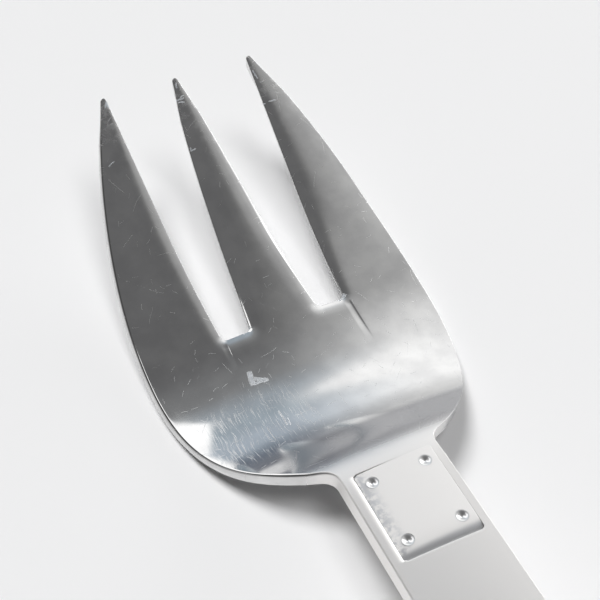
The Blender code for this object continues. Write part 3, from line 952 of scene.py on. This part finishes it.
class Graph:
    """Short way to add nodes; a value is a number, a vector, a tone or another node's output."""

    def __init__(self, tree):
        self.tree = tree

    def node(self, kind, inputs=None, **settings):
        made = self.tree.nodes.new(kind)
        for name, value in settings.items():
            setattr(made, name, value)
        for key, value in (inputs or {}).items():
            self.put(made.inputs[key], value)
        return made

    def put(self, socket, value):
        if isinstance(value, bpy.types.NodeSocket):
            self.tree.links.new(value, socket)
        elif socket.type == "RGBA":
            socket.default_value = colour(value)
        else:
            socket.default_value = value

    def math(self, operation, first, second=0.0, third=0.0):
        return self.node("ShaderNodeMath", {0: first, 1: second, 2: third}, operation=operation).outputs[0]

    def joined(self, operation, values):
        """Several values joined by one operation, from the first to the last."""
        made = values[0]
        for value in values[1:]:
            made = self.math(operation, made, value)
        return made

    def most(self, *masks):
        """The strongest of several masks."""
        return self.joined("MAXIMUM", masks)

    def product(self, *values):
        return self.joined("MULTIPLY", values)

    def vector(self, operation, first, second, third=(0, 0, 0)):
        inputs = {0: first, 1: second, 2: third}
        return self.node("ShaderNodeVectorMath", inputs, operation=operation).outputs[0]

    def parts(self, vector):
        """The x, y and z of a vector."""
        return self.node("ShaderNodeSeparateXYZ", {0: vector}).outputs

    def step(self, value, low, high):
        """Smooth step from 0 at low to 1 at high."""
        inputs = {"Value": value, "From Min": low, "From Max": high}
        return self.node("ShaderNodeMapRange", inputs, interpolation_type="SMOOTHSTEP").outputs["Result"]

    def between(self, value, low, full, fade, high):
        """Mask that rises from low to full and falls from fade to high."""
        return self.product(self.step(value, low, full), self.step(value, high, fade))

    def blend(self, share, first, second):
        """Blend of two tones."""
        inputs = {0: share, 6: first, 7: second}
        return self.node("ShaderNodeMix", inputs, data_type="RGBA").outputs[2]

    def number_blend(self, share, first, second):
        return self.node("ShaderNodeMix", {0: share, 2: first, 3: second}, data_type="FLOAT").outputs[0]

    def ramp(self, value, stops):
        """Colour that changes evenly between (value, tone) stops."""
        low = stops[0][0]
        high = stops[-1][0]
        inputs = {"Value": value, "From Min": low, "From Max": high}
        share = self.node("ShaderNodeMapRange", inputs).outputs[0]
        made = self.node("ShaderNodeValToRGB", {"Fac": share})
        points = made.color_ramp.elements
        while len(points) < len(stops):
            points.new(0.5)
        for point, (place, tone) in zip(points, stops):
            point.position = (place - low) / (high - low)
            point.color = colour(tone)
        return made.outputs["Color"]

    def noise(self, place, scale, detail):
        return self.node("ShaderNodeTexNoise", {"Vector": place, "Scale": scale, "Detail": detail}).outputs

    def patches(self, place, scale, detail, low, high):
        """Mask of soft random patches."""
        return self.step(self.noise(place, scale, detail)[0], low, high)

    def bent(self, place, scale, amount):
        """Coordinates pushed about a little, so that straight strokes bend."""
        shift = self.vector("SUBTRACT", self.noise(place, scale, 1.0)["Color"], (0.5, 0.5, 0.5))
        return self.vector("MULTIPLY_ADD", shift, (amount, amount, 0), place)

    def turned(self, place, centre, angle):
        """Coordinates round a centre, turned in plan."""
        inputs = {"Vector": self.vector("SUBTRACT", place, centre), "Angle": angle}
        return self.node("ShaderNodeVectorRotate", inputs, rotation_type="Z_AXIS").outputs[0]

    def stroke(self, place, length, width):
        """Mask of one straight stroke along y round the origin."""
        across, along, _ = self.parts(place)
        thin = self.step(self.math("ABSOLUTE", across), width / 2, width / 4)
        short = self.step(self.math("ABSOLUTE", along), length / 2, length / 3)
        return self.product(thin, short)

    def mark(self, place, centre, length, width, heading):
        """Mask of one single mark in plan."""
        return self.stroke(self.turned(place, (*centre, 0), math.radians(heading)), length, width)

    def scratches(self, place, cell, length, width, heading, spread, share):
        """Mask of short scratches of all strengths, at most one in each cell of a random net.

        They run within half of spread degrees from heading, which is 0 along the fork.
        """
        inputs = {"Vector": place, "Scale": 1 / cell}
        net = self.node("ShaderNodeTexVoronoi", inputs, voronoi_dimensions="2D").outputs
        chance = self.node("ShaderNodeSeparateColor", {0: net["Color"]}).outputs
        first_turn = math.radians(heading - spread / 2)
        turn = self.math("MULTIPLY_ADD", chance[0], math.radians(spread), first_turn)
        stroke = self.stroke(self.turned(place, net["Position"], turn), length, width)
        return self.product(stroke, self.step(chance[1], share, 0.0))


def new_material(name):
    """A material, its graph and its shader's inputs."""
    material = bpy.data.materials.new(name)
    material.use_nodes = True
    return material, Graph(material.node_tree), material.node_tree.nodes["Principled BSDF"].inputs


def new_steel(name):
    """A metal material, its graph, its shader's inputs and coordinates in millimetres."""
    material, graph, shader = new_material(name)
    graph.put(shader["Metallic"], 1.0)
    place = graph.node("ShaderNodeTexCoord").outputs["Object"]
    scaled = graph.node("ShaderNodeVectorMath", {0: place, "Scale": 1 / MM}, operation="SCALE").outputs[0]
    return material, graph, shader, scaled


# Edges of the finishes and of the painted shade, in millimetres: where each starts and is full, and where
# it fades and ends
SATIN_EDGE = (NECK_Y / MM + 3.4, NECK_Y / MM + 0.4)
WORN_EDGE = (TIP_Y / MM - 14, TIP_Y / MM - 1)
TIP_SCRATCH_EDGE = (TIP_Y / MM - 6, TIP_Y / MM - 2)
END_WALL = (43.4, 44.6, 47.8, 48.8)
END_WALL_LEFT_EDGE = (-8.2, -6.0)
PLATE_LEFT = -PLATE_WIDTH / 2 / MM
PLATE_LEFT_EDGE = (PLATE_LEFT + 1.4, PLATE_LEFT)
PLATE_NEAR = -(CLEARANCE + PLATE_LENGTH) / MM
PLATE_NEAR_EDGE = (PLATE_NEAR + 0.9, PLATE_NEAR + 0.3)

# Rubbed patch on the bowl: an oval with a soft rim, cut off at its near side
RUBBED_CENTRE = (-6.4, 51.7, 0)
RUBBED_TURN = (0, 0, math.radians(27))
RUBBED_SCALE = (1 / 6.5, 1 / 7.5, 0)
RUBBED_RIM = (1.0, 0.6)
RUBBED_NEAR_EDGE = (48.0, 50.0)
RUBBED_STRETCH = (1, 0.06, 0)

# Scratches: cell, length and width in millimetres, heading and spread in degrees, share of cells with one.
# Those of the rubbed patch are drawn out along the fork by its stretch.
LONG_SCRATCHES = (2.6, 2.2, 0.06, 20, 150, 0.6)
SHORT_SCRATCHES = (0.9, 0.7, 0.06, -30, 180, 0.4)
RUBBED_SCRATCHES = (0.22, 0.14, 0.05, 0, 6, 0.7)
TIP_SCRATCHES = (0.7, 0.6, 0.12, 30, 160, 0.8)
SCRATCH_BEND = (0.5, 0.5)
NICK_AND_HIGHLIGHT_BEND = (3.0, 0.15)

# Noise: scale and detail, then for patches the noise where they start and where they are full
HAZE = (0.5, 6.0, 0.35, 0.7)
TIP_BLOTCHES = (0.9, 4.0, 0.45, 0.62)
SHADES = (0.4, 6.0, 0.3, 0.7)
STREAKS = (9.0, 2.0, 0.5, 0.7)
STREAK_STRENGTH = 0.6
PLATE_PATCHES = (2.2, 4.0, 0.36, 0.62)
PLATE_GRAIN = (14.0, 3.0)
RIVET_GRAIN = (6.0, 2.0)

# Roughness, metal share and tones, among them painted shade and painted highlights
SMOOTH_ROUGHNESS = (0.05, 0.09)
SCRATCH_ROUGHNESS = 0.5
NICK_AND_HIGHLIGHT_ROUGHNESS = 0.85
SATIN_ROUGHNESS = 0.5
TIP_WEAR_EXTRA = 0.25
END_WALL_EXTRA = 0.1
PLATE_ROUGHNESS = (0.48, 0.56)
PLATE_METAL = (0.6, 1.0)
RIVET_ROUGHNESS = (0.25, 0.35)
HEAD_TONES = (0.65, (0.75, 0.75, 0.745))
# Tone of the nicks, and of the two painted highlights at the slots' root corners
NICK_AND_HIGHLIGHT_TONE = (0.93, 0.95, 0.97)
# Tone of the end wall: painted shade, a darker reflection on the wall
END_WALL_SHADE_TONE = (0.43, 0.43, 0.44)
SATIN_TONE = (0.905, 0.89, 0.875)
# The plate's own pale tone, then its painted shade tone
PLATE_TONE_AND_SHADE = ((0.97, 0.955, 0.94), (0.74, 0.745, 0.76))
RIVET_TONE = 0.85

# Single bright nicks, and two painted highlights at the slots' root corners: place in plan, length, width
# and heading, in millimetres and degrees
NICKS_AND_HIGHLIGHTS = (
    ((-5.6, 58.1), 1.8, 0.65, 10), ((-4.95, 57.4), 1.7, 0.4, 94), ((-4.85, 57.65), 1.4, 0.5, 122),
    ((-4.9, 52.6), 2.2, 0.2, 1), ((-4.6, 51.9), 1.2, 0.15, 10),
    # These two marks at the root corners of the slots are painted highlights, not nicks
    ((-3.85, 63.2), 1.2, 0.5, 69), ((6.2, 63.1), 1.2, 0.5, 67),
    ((-7.8, 88.3), 0.9, 0.2, 28), ((-7.65, 88.3), 0.9, 0.2, 7), ((-9.5, 82.8), 0.9, 0.12, 67),
    ((-0.45, 87.9), 0.6, 0.2, 14), ((-0.65, 86.5), 1.0, 0.2, 92), ((-0.65, 86.2), 0.8, 0.16, 107),
    ((-0.35, 86.7), 0.6, 0.16, 75), ((-1.4, 81.5), 0.7, 0.18, 95), ((-1.6, 81.6), 0.5, 0.15, 5),
    ((7.8, 87.0), 1.1, 0.16, -10), ((8.35, 84.0), 0.9, 0.15, 90), ((7.4, 84.0), 0.5, 0.15, 103),
)


def rubbed_scratches(graph, place, bent, y):
    """Mask of dense streaks and scratches in the rubbed patch."""
    offset = graph.vector("SUBTRACT", place, RUBBED_CENTRE)
    inputs = {"Vector": offset, "Rotation": RUBBED_TURN, "Scale": RUBBED_SCALE}
    oval = graph.node("ShaderNodeMapping", inputs, vector_type="POINT").outputs[0]
    reach = graph.node("ShaderNodeVectorMath", {0: oval}, operation="LENGTH").outputs["Value"]
    patch = graph.product(graph.step(reach, *RUBBED_RIM), graph.step(y, *RUBBED_NEAR_EDGE))
    stretched = graph.vector("MULTIPLY", bent, RUBBED_STRETCH)
    fine = graph.product(graph.patches(stretched, *STREAKS), STREAK_STRENGTH)
    coarse = graph.scratches(stretched, *RUBBED_SCRATCHES)
    return graph.product(graph.most(fine, coarse), patch)


def fork_steel():
    """Polished and scratched on the head, satin on the neck and handle, worn at the tips.

    The end wall of the bowl is duller, and painted darker as shade.
    """
    material, graph, shader, place = new_steel("polished_steel")
    x, y, _ = graph.parts(place)
    satin = graph.step(y, *SATIN_EDGE)
    # End wall: rougher, and darker with painted shade
    end_wall_dull_and_shade = graph.product(graph.between(y, *END_WALL), graph.step(x, *END_WALL_LEFT_EDGE))
    bent = graph.bent(place, *SCRATCH_BEND)
    sparse = graph.scratches(bent, *LONG_SCRATCHES)
    short = graph.scratches(bent, *SHORT_SCRATCHES)
    dense = rubbed_scratches(graph, place, bent, y)
    at_tip = graph.product(graph.scratches(bent, *TIP_SCRATCHES), graph.step(y, *TIP_SCRATCH_EDGE))
    scratches = graph.most(sparse, short, dense, at_tip)
    ragged = graph.bent(place, *NICK_AND_HIGHLIGHT_BEND)
    # Bright nicks, and two painted highlights at the slots' root corners
    nick_and_highlight = graph.most(*[graph.mark(ragged, *stroke) for stroke in NICKS_AND_HIGHLIGHTS])
    tip_wear = graph.product(graph.step(y, *WORN_EDGE), graph.patches(place, *TIP_BLOTCHES))

    head = graph.number_blend(graph.patches(place, *HAZE), *SMOOTH_ROUGHNESS)
    head = graph.number_blend(scratches, head, SCRATCH_ROUGHNESS)
    head = graph.number_blend(nick_and_highlight, head, NICK_AND_HIGHLIGHT_ROUGHNESS)
    head = graph.math("MULTIPLY_ADD", tip_wear, TIP_WEAR_EXTRA, head)
    head = graph.math("MULTIPLY_ADD", end_wall_dull_and_shade, END_WALL_EXTRA, head)
    graph.put(shader["Roughness"], graph.number_blend(satin, head, SATIN_ROUGHNESS))
    tone = graph.blend(graph.patches(place, *SHADES), *HEAD_TONES)
    tone = graph.blend(nick_and_highlight, tone, NICK_AND_HIGHLIGHT_TONE)
    tone = graph.blend(end_wall_dull_and_shade, tone, END_WALL_SHADE_TONE)
    graph.put(shader["Base Color"], graph.blend(satin, tone, SATIN_TONE))
    return material


def plate_steel():
    """Pale satin steel with a very fine grain.

    It is partly matt; in patches at its left edge and along its near edge it is fully metallic and painted
    darker and bluer as shade.
    """
    material, graph, shader, place = new_steel("satin_steel")
    grain = graph.noise(place, *PLATE_GRAIN)[0]
    graph.put(shader["Roughness"], graph.number_blend(grain, *PLATE_ROUGHNESS))
    x, y, _ = graph.parts(place)
    at_left = graph.product(graph.step(x, *PLATE_LEFT_EDGE), graph.patches(place, *PLATE_PATCHES))
    # Painted shade: darker, bluer patches at the left edge and a dark band along the near edge
    metal_and_shade = graph.most(at_left, graph.step(y, *PLATE_NEAR_EDGE))
    graph.put(shader["Metallic"], graph.number_blend(metal_and_shade, *PLATE_METAL))
    graph.put(shader["Base Color"], graph.blend(metal_and_shade, *PLATE_TONE_AND_SHADE))
    return material


def rivet_steel():
    """Bright steel with slight wear."""
    material, graph, shader, place = new_steel("bright_steel")
    grain = graph.noise(place, *RIVET_GRAIN)[0]
    graph.put(shader["Roughness"], graph.number_blend(grain, *RIVET_ROUGHNESS))
    graph.put(shader["Base Color"], RIVET_TONE)
    return material


# Studio

# Tones by the angle from straight up, in degrees to the far side; those of the ceiling go to the right
FAR_TONES = (
    (-90, 0.5), (-72, 0.14), (-15, 0.15), (20, (0.17, 0.17, 0.175)), (30, (0.28, 0.285, 0.29)),
    (38, (0.41, 0.46, 0.51)), (48, (0.42, 0.49, 0.55)), (60, (0.52, 0.59, 0.67)), (67, (0.48, 0.55, 0.63)),
    (73, (0.28, 0.33, 0.39)), (78, (0.20, 0.23, 0.28)), (90, (0.25, 0.26, 0.29)),
)
WINDOW_TONES = (
    (-90, 0.5), (-40, 0.3), (0, 0.5), (20, 0.7), (30, 1.0), (44, 1.27), (64, 1.27), (78, 0.8), (90, 0.66),
)
CEILING_TONES = (
    (10, (0.165, 0.165, 0.168)), (16, (0.185, 0.185, 0.187)), (20, 0.24), (24, 0.34), (28, 0.4), (36, 0.46),
    (46, 0.59), (70, 0.62),
)
SOFTBOX_TONE = 4.0
CARD_TONE = 1.5
LOW_WALL_TONE = 0.5
LEFT_WALL_TONE = 0.08
HORIZON_TONE = (0.90, 0.90, 0.91)

# Edges of the studio's areas, in degrees: where each starts and is full, and where it fades and ends
WINDOW_START = 9.0
WINDOW_FULL = 37.0
WINDOW_BULGE = 15.0
WINDOW_BULGE_MIDDLE = 45.0
WINDOW_BULGE_WIDTH = 8.0
CEILING_EDGE = (27.0, 17.0)
CEILING_SLANT = 0.25
SOFTBOX_ACROSS = (47.0, 56.0, 72.0, 84.0)
SOFTBOX_ALONG = (5.0, 20.0, 40.0, 50.0)
LEFT_WALL_EDGE = (-25.0, -32.0)
CARD_LOW_TURN = (-11.0, -15.0)
CARD_LOW_EDGES = (30.0, 17.0)
CARD_NEAR_SLANT = 1.37
CARD_NEAR_START = 39.3
CARD_NEAR_EDGE = (-0.6, 0.6)
CARD_RIGHT_SLANT = 0.33
CARD_RIGHT_START = 60.0
CARD_RIGHT_EDGE = (0.3, -0.9)
CARD_LEFT_EDGE = (-30.0, -24.0)
LOW_WALL_LEFT = (-20.0, -35.0)
LOW_WALL_NEAR = (-25.0, -40.0)
LOW_WALL_TOP = (66.0, 76.0)
HORIZON_EDGE = (88.0, 89.6)
LEAST_LEVEL = 1e-5

# Light and table top
FILL_SHARE = 0.09
LAMPS = (("far_lamp", (-0.2, 0.25, 0.94), 2.04), ("near_lamp", (0.12, -0.3, 0.94), 0.96))
LAMP_SPREAD = math.radians(22)
FLOOR_SIZE = 60.0
FLOOR_TONE = (0.88, 0.88, 0.885)
FLOOR_ROUGHNESS = 0.6


def window_mask(graph, to_right, to_far):
    """Window to the right, whose soft left edge bulges to the left."""
    across = graph.math("DIVIDE", graph.math("SUBTRACT", to_far, WINDOW_BULGE_MIDDLE), WINDOW_BULGE_WIDTH)
    bulge = graph.math("EXPONENT", graph.product(across, across, -1.0))
    full = graph.math("SUBTRACT", WINDOW_FULL, graph.product(bulge, WINDOW_BULGE))
    return graph.step(to_right, WINDOW_START, full)


def card_mask(graph, to_right, to_far):
    """White card towards the far left, with sharp slanting edges at its near and right sides."""
    low_edge = graph.number_blend(graph.step(to_right, *CARD_LOW_TURN), *CARD_LOW_EDGES)
    slant_edge = graph.math("MULTIPLY_ADD", to_right, CARD_NEAR_SLANT, CARD_NEAR_START)
    past_near = graph.math("SUBTRACT", to_far, graph.math("MAXIMUM", low_edge, slant_edge))
    past_start = graph.math("MAXIMUM", graph.math("SUBTRACT", to_far, CARD_RIGHT_START), 0.0)
    past_right = graph.math("SUBTRACT", to_right, graph.product(past_start, CARD_RIGHT_SLANT))
    near = graph.step(past_near, *CARD_NEAR_EDGE)
    right = graph.step(past_right, *CARD_RIGHT_EDGE)
    return graph.product(near, right, graph.step(to_right, *CARD_LEFT_EDGE))


def make_world():
    """Studio seen in the metal, laid on in turn.

    A grey-blue far wall and a window to the right, a dim ceiling, a softbox to the right, a dark left wall,
    a white card, a low wall to the left and near side, and a pale horizon.
    """
    world = bpy.data.worlds.new("studio")
    bpy.context.scene.world = world
    world.use_nodes = True
    graph = Graph(world.node_tree)
    background = world.node_tree.nodes["Background"].inputs
    x, y, z = graph.parts(graph.node("ShaderNodeTexCoord").outputs["Generated"])
    zenith = graph.math("DEGREES", graph.math("ARCCOSINE", z))
    level = graph.math("SQRT", graph.math("ADD", graph.product(x, x), graph.product(y, y)))
    share = graph.math("DIVIDE", zenith, graph.math("MAXIMUM", level, LEAST_LEVEL))
    to_right = graph.product(share, x)
    to_far = graph.product(share, y)

    far = graph.ramp(to_far, FAR_TONES)
    room = graph.blend(window_mask(graph, to_right, to_far), far, graph.ramp(to_far, WINDOW_TONES))
    ceiling = graph.ramp(graph.math("MULTIPLY_ADD", to_far, CEILING_SLANT, to_right), CEILING_TONES)
    room = graph.blend(graph.step(to_far, *CEILING_EDGE), room, ceiling)
    softbox = graph.product(graph.between(to_right, *SOFTBOX_ACROSS), graph.between(to_far, *SOFTBOX_ALONG))
    room = graph.blend(softbox, room, SOFTBOX_TONE)
    room = graph.blend(graph.step(to_right, *LEFT_WALL_EDGE), room, LEFT_WALL_TONE)
    room = graph.blend(card_mask(graph, to_right, to_far), room, CARD_TONE)
    beside = graph.most(graph.step(to_right, *LOW_WALL_LEFT), graph.step(to_far, *LOW_WALL_NEAR))
    low_wall = graph.product(beside, graph.step(zenith, *LOW_WALL_TOP))
    room = graph.blend(low_wall, room, LOW_WALL_TONE)
    room = graph.blend(graph.step(zenith, *HORIZON_EDGE), room, HORIZON_TONE)
    graph.put(background["Color"], room)
    bounced = graph.node("ShaderNodeLightPath").outputs["Is Diffuse Ray"]
    graph.put(background["Strength"], graph.math("MULTIPLY_ADD", bounced, FILL_SHARE - 1, 1.0))


def make_floor():
    """Plain pale table top that keeps the fork's shadow."""
    material, graph, shader = new_material("pale_floor")
    graph.put(shader["Base Color"], FLOOR_TONE)
    graph.put(shader["Roughness"], FLOOR_ROUGHNESS)
    half = FLOOR_SIZE / 2
    corners = [(-half, -half, 0), (half, -half, 0), (half, half, 0), (-half, half, 0)]
    floor = new_object("floor", corners, [(0, 1, 2, 3)], material)


def make_lamps():
    """Two soft overhead lamps, from the far left and the near right, that don't show in the metal."""
    for name, way, strength in LAMPS:
        light = bpy.data.lights.new(name, "SUN")
        light.angle = LAMP_SPREAD
        light.energy = strength
        lamp = bpy.data.objects.new(name, light)
        bpy.context.collection.objects.link(lamp)
        lamp.rotation_euler = (-Vector(way)).to_track_quat("-Z", "Y").to_euler()
        lamp.visible_glossy = False


def make_camera():
    camera = bpy.data.cameras.new("photo_camera")
    camera.lens = CAMERA_LENS
    camera.sensor_width = SENSOR_WIDTH
    camera.clip_start = CLIP_START
    camera.clip_end = CLIP_END
    item = bpy.data.objects.new("photo_camera", camera)
    bpy.context.collection.objects.link(item)
    turn = Matrix.Rotation(CAMERA_AZIMUTH, 4, "Z")
    tilt = Matrix.Rotation(math.pi / 2 - CAMERA_ELEVATION, 4, "X")
    roll = Matrix.Rotation(-CAMERA_ROLL, 4, "Z")
    item.matrix_world = Matrix.Translation(CAMERA_PLACE) @ turn @ tilt @ roll
    bpy.context.scene.camera = item


def main():
    bpy.context.scene.view_settings.view_transform = "Standard"
    make_camera()
    make_world()
    make_floor()
    make_lamps()
    blank = Blank()
    neck = neck_matrix(blank)
    body = make_body(blank, neck, fork_steel())
    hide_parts("fork_body")
    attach(body, "root")
    plate = make_plate(neck, plate_steel())
    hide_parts("inlay_plate")
    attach(plate, "root")
    for node, rivet in make_rivets(neck, rivet_steel()):
        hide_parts(node)
        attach(rivet, "root")


main()
